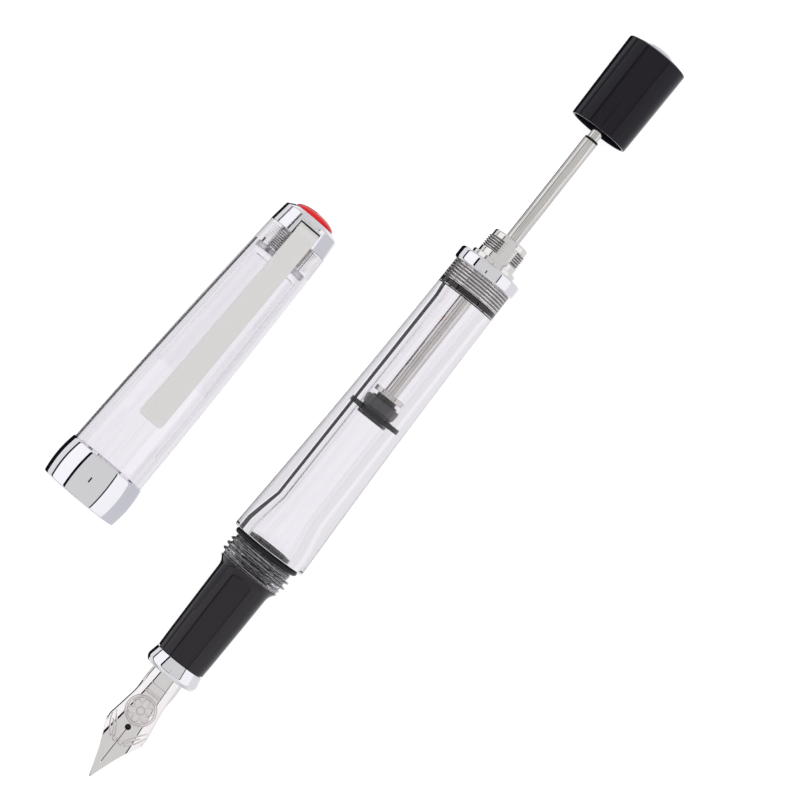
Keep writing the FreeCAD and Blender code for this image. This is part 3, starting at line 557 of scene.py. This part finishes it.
def make_plug():
    """The filler plug with both its threads, and the seals on and in it."""
    front = helix(108.3, 111.85, 0.6, 0.05, 4.13)
    rear = helix(116.5, 119.1, 0.46, 0.29, 3.55)

    def both(x, radius, angle):
        """Both threads, with the two wrench flats cut across the rear one."""
        out = front(x, radius, angle) + rear(x, radius, angle)
        if 116.3 < x < 119.3:
            for middle in (FLAT_TURN, FLAT_TURN + math.pi):
                off = math.remainder(angle - middle, FULL_TURN)
                if abs(off) < 0.6:
                    out = min(out, 3.5 / math.cos(off) - radius)
        return out

    outline = [(107.05, 2.4), (107.05, 3.95, 0.12), (107.42, 3.95), (107.42, 3.26), (108.24, 3.26), (108.24, 4.13)]
    outline += run(108.32, 111.8, 4.13, 0.04)
    outline += [(111.85, 4.13), (111.86, 4.08), (114.4, 4.08), (114.4, 4.49, 0.08)]
    outline += [(115.3, 4.49, 0.12), (115.3, 3.78, 0.05)]
    outline += [(116.5, 3.78, 0.08), (116.5, 3.55)]
    outline += run(116.55, 119.05, 3.55, 0.04)
    outline += [(119.1, 3.52), (120.3, 3.52, 0.4), (120.3, 1.43, 0.1), (109.8, 1.43), (109.8, 2.4)]
    plug = lathe("plug", outline, PEN, FINE, both)
    dress(plug, "pen_body", PLUG_METAL, "plug_metal", "filler_plug")
    # Painted shade in the thread roots: the front thread's all round, the rear thread's away from the wrench flats and
    # the underside.
    front_root_shade = threaded(108.32, 111.8, 4.136)
    rear_root_shade = threaded(116.55, 119.05, 3.63)

    def roots(spot):
        facing = math.atan2(spot.y, spot.z) - FLAT_TURN
        return front_root_shade(spot) or (rear_root_shade(spot) and spot.z > -3 and abs(math.sin(facing)) > 0.42)

    inlay(plug, THREAD_ROOT_SHADE, PEN, roots)
    outline = [(107.44, 3.28), (107.44, 3.97), (107.1, 3.97), (107.1, 4.14, 0.1), (108.23, 4.14, 0.1), (108.23, 3.28)]
    seal = lathe("plug_seal", outline, PEN)
    dress(seal, "pen_body", RUBBER, "black_rubber", "plug_o_ring")
    for name, start, end, bore, node, material, slot in (
        ("gland_seal", 108.12, 109.78, 1.4, "rod_seal", RUBBER, "black_rubber"),
        ("gland_nut", 107.1, 108.1, 1.43, "seal_retainer", BLACK_PLASTIC, "black_plastic"),
    ):
        outline = [(start, bore, 0.05), (start, 2.38, 0.05), (end, 2.38, 0.05), (end, bore, 0.05)]
        piece = lathe(name, outline, PEN, PLAIN)
        dress(piece, "pen_body", material, slot, node)


make_plug()


# ---------------------------------------------------------------- piston and rod

def make_piston():
    """The piston head: its carrier, its two-lipped seal and the steel washer behind it."""
    carrier = lathe(
        "carrier",
        [(79.8, 0), (79.8, 3.04, 0.25), (80.35, 3.04), (80.35, 2.3), (83.75, 2.3), (83.75, 2.74, 0.1)]
        + [(84.1, 2.44, 0.1), (84.1, 1.99), (84.7, 1.99), (84.7, 1.04), (80.4, 1.04), (80.4, 0)],
        PEN,
    )
    dress(carrier, "piston", BLACK_PLASTIC, "black_plastic", "piston_carrier")
    seal = lathe(
        "seal_lips",
        [(80.37, 2.31), (80.37, 2.9, 0.1), (80.45, 3.5, 0.12), (81.5, 3.5, 0.12), (81.5, 3.0, 0.05), (81.7, 3.0, 0.1)]
        + [(81.95, 3.26, 0.1), (83.4, 3.38, 0.12), (83.73, 3.2, 0.1), (83.73, 2.31)],
        PEN,
    )
    dress(seal, "piston", SEAL, "black_rubber", "piston_seal")
    inlay(seal, SEAL_SKIRT, PEN, lambda spot: spot.x > 81.8 and math.hypot(spot.y, spot.z) > 3.1)
    washer = lathe("washer", [(84.72, 1.41), (84.72, 3.04, 0.1), (85.7, 3.04, 0.1), (85.7, 1.41)], PEN)
    dress(washer, "piston", ROD_STEEL, "rod_steel", "piston_washer")


def make_rod():
    """The plunger rod and the small ring at the root of its neck."""
    rod = lathe(
        "rod",
        [(80.5, 0), (80.5, 1.0), (84.72, 1.0), (84.72, 1.37), (142.65, 1.37, 0.08), (142.65, 0.95), (143.04, 0.95)]
        + [(143.04, 1.06, 0.04), (152.0, 1.06), (152.0, 0)],
        PEN,
    )
    dress(rod, "filler_rod", ROD_STEEL, "rod_steel", "plunger_rod")
    ring = lathe("rod_ring", ring_outline(142.85, 1.2, 0.18), PEN, PLAIN)
    dress(ring, "filler_rod", RUBBER, "black_rubber", "rod_end_o_ring")


make_piston()
make_rod()


# ---------------------------------------------------------------- filler knob

def make_knob():
    """The smoky knob with its inner thread, the insert that grips the rod and the bright button on its end."""
    thread = helix(147.7, 151.4, 0.7, 0.25, 3.9)
    outline = [(144.7, 5.19, 0.12), (144.7, 5.76, 0.22), (161.7, 6.05, 0.3)]
    outline += [(162.2, 4.2), (162.4, 2.95, 0.1), (161.2, 2.95), (161.2, 2.0), (151.6, 2.0), (151.6, 3.9)]
    outline += run(151.4, 147.7, 3.9, 0.06)
    outline += [(147.6, 3.95), (146.6, 5.19, 0.3)]
    knob = lathe("knob", outline, PEN, FINE, thread)
    dress(knob, "filler_rod", KNOB_SMOKE, "smoke_acrylic", "knob_shell")
    insert = lathe(
        "insert",
        [(151.0, 1.08), (151.0, 1.98, 0.1), (161.22, 1.98), (161.22, 2.9), (162.4, 2.9)]
        + [(162.4, 0), (152.1, 0), (152.1, 1.08)],
        PEN,
        PLAIN,
    )
    dress(insert, "filler_rod", PLUG_METAL, "plug_metal", "knob_insert")
    dome = [(162.42, 0), (162.42, 2.64)] + [
        (162.42 + 0.72 * math.sin(turn), 2.64 * math.cos(turn)) for turn in (0.15, 0.35, 0.6, 0.85, 1.1, 1.35)
    ]
    button = lathe("knob_button", dome + [(163.14, 0)], PEN)
    dress(button, "filler_rod", CHROME, "chrome_plate", "knob_dome")


make_knob()


# ---------------------------------------------------------------- cap

def make_cap():
    """The clear cap tube, its band, inner cap and gasket, and the screw and red button at its top."""
    thread = helix(1.9, 5.7, CAP_PITCH, 0.42, 6.2)
    outline = [(0, 6.78), (0, 7.2), (8.1, 7.2), (8.1, 7.45)]
    outline += curve_between((8.1, 7.45), (59.66, 5.95), 0.19)
    outline += [(59.66, 3.62), (55.3, 3.62), (55.3, 5.2)]
    outline += [(54.0, 5.23)] + curve_between((53.5, 5.24), (27.0, 5.95), 0, 12)
    outline += curve_between((26.0, 5.97), (6.6, 6.24), 0, 10)
    outline += [(6.0, 6.25), (5.8, 6.2)]
    outline += run(5.7, 1.9, 6.2, 0.06)
    outline += [(1.6, 6.2), (1.6, 6.78)]
    tube = lathe("clear_cap", outline, CAP, 240, thread)
    dress(tube, "cap", CLEAR, "clear_acrylic", "cap_tube")
    crown = [(0.5 + 7.1 * step / 16, 7.78 + 0.3 * (1 - (step / 8 - 1) ** 2)) for step in range(17)]
    band = lathe("band", [(0, 7.22, 0.06), (0, 7.7, 0.35)] + crown + [(8.1, 7.7, 0.35), (8.1, 7.22, 0.06)], CAP)
    dress(band, "cap", CHROME, "chrome_plate", "cap_band")
    inner = lathe(
        "inner_tube",
        [(27.9, 5.45, 0.08), (27.9, 5.85, 0.08), (54.2, 5.16, 0.1), (54.2, 0)]
        + [(53.2, 0), (53.2, 4.3, 0.5), (28.9, 4.8)],
        CAP,
    )
    dress(inner, "cap", THIN_CLEAR, "clear_acrylic", "inner_cap")
    gasket = lathe("gasket", [(54.25, 3.05), (54.25, 5.16, 0.15), (55.28, 5.16, 0.15), (55.28, 3.05)], CAP, PLAIN)
    dress(gasket, "cap", GREY_RUBBER, "grey_rubber", "cap_gasket")
    post = helix(55.5, 59.6, 0.41, 0.3, 3.36)
    outline = [(54.25, 0), (54.25, 3.0), (55.35, 3.0), (55.35, 3.36)] + run(55.5, 59.6, 3.36, 0.045)
    outline += [(59.66, 3.36), (59.66, 2.95), (63.2, 2.95), (63.2, 3.6), (64.2, 3.6), (64.2, 0)]
    screw = lathe("screw", outline, CAP, FINE, post)
    dress(screw, "cap", PLUG_METAL, "plug_metal", "finial_screw")
    # Painted shade in the roots of the screw's thread.
    inlay(screw, SCREW_ROOT_SHADE, CAP, threaded(55.5, 59.6, 3.39))
    dome = [(64.21, 0), (64.21, 4.05)] + [
        (64.21 + 1.39 * math.sin(turn), 4.05 * math.cos(turn)) for turn in (0.1, 0.22, 0.36, 0.52, 0.7, 0.9, 1.1, 1.35)
    ]
    button = lathe("cap_button", dome + [(65.6, 0)], CAP)
    dress(button, "cap", RED, "red_plastic", "finial_dome")


make_cap()


def box_mesh(name, low, high, place):
    """A plain box, used to cut with."""
    corners = [(x, y, z) for x in (low[0], high[0]) for y in (low[1], high[1]) for z in (low[2], high[2])]
    faces = [(0, 1, 3, 2), (4, 6, 7, 5), (0, 4, 5, 1), (2, 3, 7, 6), (0, 2, 6, 4), (1, 5, 7, 3)]
    return finish_mesh(name, corners, faces, place)


def make_crown():
    """The bright crown ring, notched for the clip's root, with painted shade inside the notch."""
    crown = lathe(
        "crown",
        [(59.7, 3.0), (59.7, 6.0, 0.06), (63.5, 5.63, 0.2), (64.2, 4.4, 0.12), (64.2, 3.62), (63.2, 3.62), (63.2, 3.0)],
        CAP,
    )
    cutter = box_mesh("notch_cutter", (58.7, -2.17, 3.4), (62.5, 2.17, 9.0), CAP)
    notch = crown.modifiers.new("notch", "BOOLEAN")
    notch.operation = "DIFFERENCE"
    notch.solver = "EXACT"
    notch.object = cutter
    shaped = bpy.data.meshes.new_from_object(crown.evaluated_get(bpy.context.evaluated_depsgraph_get()))
    crown.modifiers.clear()
    crown.data = shaped
    bpy.data.objects.remove(cutter)
    dress(crown, "cap", SOFT_CHROME, "chrome_plate", "crown_ring")

    def in_notch(spot):
        """The walls of the notch, but not the ring's outside."""
        return 59.75 < spot.x < 62.55 and abs(spot.y) < 2.2 and 3.35 < spot.z and math.hypot(spot.y, spot.z) < 5.6

    # Black plastic on the notch's walls is painted shade, the dark gap round the clip's root.
    inlay(crown, BLACK_PLASTIC, CAP, in_notch)


make_crown()

# These CAD pieces keep their own meshes.
for node, material in (("clip", CLIP_STEEL), ("feed", BLACK_PLASTIC), ("nib_housing", BLACK_PLASTIC)):
    piece = frame["nodes"][node]
    piece.data.materials.clear()
    piece.data.materials.append(material)


# ---------------------------------------------------------------- studio

IMAGE_MM = 141.1  # width of the view at the height of the pen's axis
CAMERA_HEIGHT = 590.0
SENSOR = 36.0
VIEW_TURN = -51.7  # degrees from the frame's X axis to the picture's right-hand side
CARD_AWAY = 10.5  # from the cap's axis to the card beside it
CARD_HEIGHT = 13.6
PEN_CARD = (4.9, 10.3)  # near and far edge of the dark card beside the barrel, from the pen's axis
CAP_CARD = (7.7, 11.3)
VIEW_POINT = (85.9, -1.9)  # what the camera looks straight down at, on the pen's own axis and beside it


def make_camera():
    """A camera that looks straight down at the pen, turned so that the nib points to the lower left."""
    data = bpy.data.cameras.new("camera")
    data.sensor_width = SENSOR
    data.lens = SENSOR * CAMERA_HEIGHT / IMAGE_MM
    data.clip_start = 0.01
    data.clip_end = 10
    camera = bpy.data.objects.new("camera", data)
    bpy.context.scene.collection.objects.link(camera)
    target = PEN @ Vector((*VIEW_POINT, 0))
    camera.location = target + Vector((0, 0, CAMERA_HEIGHT * MM))
    camera.rotation_euler = (0, 0, math.radians(VIEW_TURN))
    bpy.context.scene.camera = camera


def make_floor():
    """A plain pale table top."""
    mesh = bpy.data.meshes.new("floor")
    reach = 3.0
    corners = [(-reach, -reach, 0), (reach, -reach, 0), (reach, reach, 0), (-reach, reach, 0)]
    mesh.from_pydata(corners, [], [(0, 1, 2, 3)])
    floor = bpy.data.objects.new("floor", mesh)
    bpy.context.scene.collection.objects.link(floor)
    table = surface("table", (0.3, 0.3, 0.3), (0.7, 0.8), (40, (1, 1, 1)), 0.0, 0.004, Specular_IOR_Level=0.0)
    shader = table.node_tree.nodes["Principled BSDF"]
    shader.inputs["Emission Color"].default_value = (1, 1, 1, 1)
    shader.inputs["Emission Strength"].default_value = 0.76
    mesh.materials.append(table)
    floor.visible_glossy = False
    floor.visible_transmission = False


def degrees_round(angle):
    """Place on the world's ramp of an angle about the pen's axis, from straight down through -Y, up and +Y."""
    return angle / 360 + 0.5


PANELS = (
    (-180, 0.95), (-150, 0.9), (-146, 0.8), (-93, 0.8), (-90, 1.0), (89, 1.05),
    (97, 1.05), (97.5, 0.01), (104.5, 0.01), (105, 0.8), (150, 0.85), (180, 0.95),
)


LAVENDER = (0.975, 0.965, 1.0)
DARK = (0.006, 0.006, 0.008, 1)
BOX_COLOUR = (0.68, 0.68, 0.685, 1)
BOX_SHIFT, BOX_ACROSS, BOX_ALONG = 0.05, 0.95, 0.7  # the overhead box's middle and half sizes, for a height of 1
BOX_CORNER = 8.0  # how square its corners are
BOX_GAP, BOX_GAP_MORE = 1.13, 0.17  # outer edge of the dark gap round it, and how much wider it is on +Y
HOLE = (28.0, 14.0)  # the small dark opening in its middle is 1/28 and 1/14 of its half sizes


def make_world():
    """A studio as a world: pale panels all round, a large box overhead with a thin dark gap round it, a thin dark line
    on the cap's side, and two low dark zones there, one that only plain mirrors catch and one only clear walls."""
    world = bpy.data.worlds.new("studio")
    bpy.context.scene.world = world
    world.use_nodes = True
    tree = Nodes(world.node_tree)
    where = tree.add("ShaderNodeTexCoord").outputs["Generated"]
    parts = tree.add("ShaderNodeSeparateXYZ", Vector=where)
    x, y, z = parts.outputs
    turn = tree.math("ADD", tree.math("DIVIDE", tree.math("ARCTAN2", y, z), FULL_TURN), 0.5)
    stops = [(degrees_round(angle), tuple(value * part for part in LAVENDER)) for angle, value in PANELS]
    shown = tree.ramp(turn, stops)

    def between(low, high):
        above = tree.math("GREATER_THAN", turn, degrees_round(low))
        return tree.math("MULTIPLY", above, tree.math("LESS_THAN", turn, degrees_round(high)))

    def lay_over(base, factor, colour):
        mix = tree.add("ShaderNodeMix", {"data_type": "RGBA"})
        tree.set(mix, "Factor", factor)
        tree.set(mix, "6", base)
        tree.set(mix, "7", colour)
        return mix.outputs[2]

    walls = tree.add("ShaderNodeLightPath").outputs["Transmission Depth"]
    level = tree.math("LESS_THAN", tree.math("ABSOLUTE", x), 0.55)
    face_on = tree.math("LESS_THAN", tree.math("ABSOLUTE", x), 0.4)
    mirrored = tree.math("MULTIPLY", between(130, 177), tree.math("LESS_THAN", walls, 0.5))
    shown = lay_over(shown, tree.math("MULTIPLY", mirrored, face_on), DARK)
    low_gap = tree.math("MULTIPLY", between(96, 128), tree.math("GREATER_THAN", walls, 2.5))
    shown = lay_over(shown, tree.math("MULTIPLY", low_gap, level), DARK)
    ends = tree.range(tree.math("ABSOLUTE", x), 0.55, 0.75, 1.0, 0.76)
    dimmer = tree.add("ShaderNodeVectorMath", {"operation": "SCALE"})
    tree.set(dimmer, "0", shown)
    tree.set(dimmer, "Scale", ends)
    shown = dimmer.outputs[0]
    up = tree.math("MAXIMUM", z, 0.001)
    across = tree.math("DIVIDE", tree.math("SUBTRACT", tree.math("DIVIDE", y, up), BOX_SHIFT), BOX_ACROSS)
    lengthways = tree.math("ABSOLUTE", tree.math("DIVIDE", tree.math("DIVIDE", x, up), BOX_ALONG))
    raised = tree.math("POWER", tree.math("ABSOLUTE", across), BOX_CORNER)
    corner = tree.math("ADD", raised, tree.math("POWER", lengthways, BOX_CORNER))
    edge = tree.math("POWER", corner, 1 / BOX_CORNER)
    reach = tree.math("ADD", BOX_GAP, tree.math("MULTIPLY", tree.math("GREATER_THAN", across, 0.0), BOX_GAP_MORE))
    box = tree.math("LESS_THAN", edge, 1.0)
    gap = tree.math("SUBTRACT", tree.math("LESS_THAN", edge, reach), box)
    shown = lay_over(shown, box, BOX_COLOUR)
    hole_across = tree.math("MULTIPLY", tree.math("ABSOLUTE", across), HOLE[0])
    hole_along = tree.math("MULTIPLY", lengthways, HOLE[1])
    hole = tree.math("LESS_THAN", tree.math("MAXIMUM", hole_across, hole_along), 1.0)
    shown = lay_over(shown, tree.math("MAXIMUM", gap, hole), DARK)
    background = world.node_tree.nodes["Background"]
    tree.set(background, "Color", shown)
    background.inputs["Strength"].default_value = 1.0


def make_key_light():
    """A large soft light over the table that whitens it without showing in the bright pieces."""
    data = bpy.data.lights.new("soft_light", "AREA")
    data.shape = "SQUARE"
    data.size = 1.6
    data.energy = 22
    light = bpy.data.objects.new("soft_light", data)
    light.location = (0, 0, 1.4)
    bpy.context.scene.collection.objects.link(light)
    light.visible_glossy = False
    light.visible_transmission = False
    light.visible_camera = False


def make_dark_cards():
    """Dark cards flat on the table beside the barrel and the cap, seen only from inside a clear wall."""
    mesh = bpy.data.meshes.new("dark_cards")
    verts, faces = [], []
    for place, start, end, near, far in ((PEN, 50, 112, *PEN_CARD), (CAP, 6, 56, *CAP_CARD)):
        faces.append(tuple(range(len(verts), len(verts) + 4)))
        for x, y in ((start, near), (end, near), (end, far), (start, far)):
            spot = place @ Vector((x, y, 0))
            verts.append((spot.x, spot.y, 0.0003))
    mesh.from_pydata(verts, [], faces)
    cards = bpy.data.objects.new("dark_cards", mesh)
    bpy.context.scene.collection.objects.link(cards)
    material = bpy.data.materials.new("dark_card")
    material.use_nodes = True
    tree = Nodes(material.node_tree)
    material.node_tree.nodes.remove(material.node_tree.nodes["Principled BSDF"])
    path = tree.add("ShaderNodeLightPath").outputs
    inside = tree.math("LESS_THAN", path["Transmission Depth"], 2.5)
    turned_back = tree.math("MULTIPLY", inside, tree.math("GREATER_THAN", path["Ray Depth"], 2.5))
    black = tree.add("ShaderNodeEmission", Color=(0.01, 0.01, 0.014, 1), Strength=1.0)
    mix = tree.add("ShaderNodeMixShader")
    tree.set(mix, "0", turned_back)
    tree.set(mix, "1", tree.add("ShaderNodeBsdfTransparent").outputs[0])
    tree.set(mix, "2", black.outputs[0])
    tree.set(material.node_tree.nodes["Material Output"], "Surface", mix.outputs[0])
    mesh.materials.append(material)
    cards.visible_camera = False
    cards.visible_diffuse = False
    cards.visible_glossy = False
    cards.visible_shadow = False


def make_card():
    """A pale card beside the cap that only its bright rings reflect, as a studio sets one up between two pieces."""
    mesh = bpy.data.meshes.new("card")
    corners = [(-4, -1), (68, -1), (68, 1), (-4, 1)]
    foot = [CAP @ Vector((x, -CARD_AWAY, 0)) for x, end in corners]
    verts = [(spot.x, spot.y, 0.0005 if end < 0 else CARD_HEIGHT * MM) for spot, (x, end) in zip(foot, corners)]
    mesh.from_pydata(verts, [], [(0, 1, 2, 3)])
    card = bpy.data.objects.new("card", mesh)
    bpy.context.scene.collection.objects.link(card)
    paper = surface("card", (0.1, 0.1, 0.1), (0.7, 0.8), (40, (1, 1, 1)), 0.0, 0.004, Specular_IOR_Level=0.0)
    shader = paper.node_tree.nodes["Principled BSDF"]
    shader.inputs["Emission Color"].default_value = (0.92, 0.92, 1, 1)
    shader.inputs["Emission Strength"].default_value = 0.58
    mesh.materials.append(paper)
    card.visible_camera = False
    card.visible_diffuse = False
    card.visible_transmission = False
    card.visible_shadow = False


make_camera()
make_floor()
make_card()
make_dark_cards()
make_world()
make_key_light()
bpy.context.scene.view_settings.view_transform = "Standard"
bpy.context.scene.view_settings.look = "None"
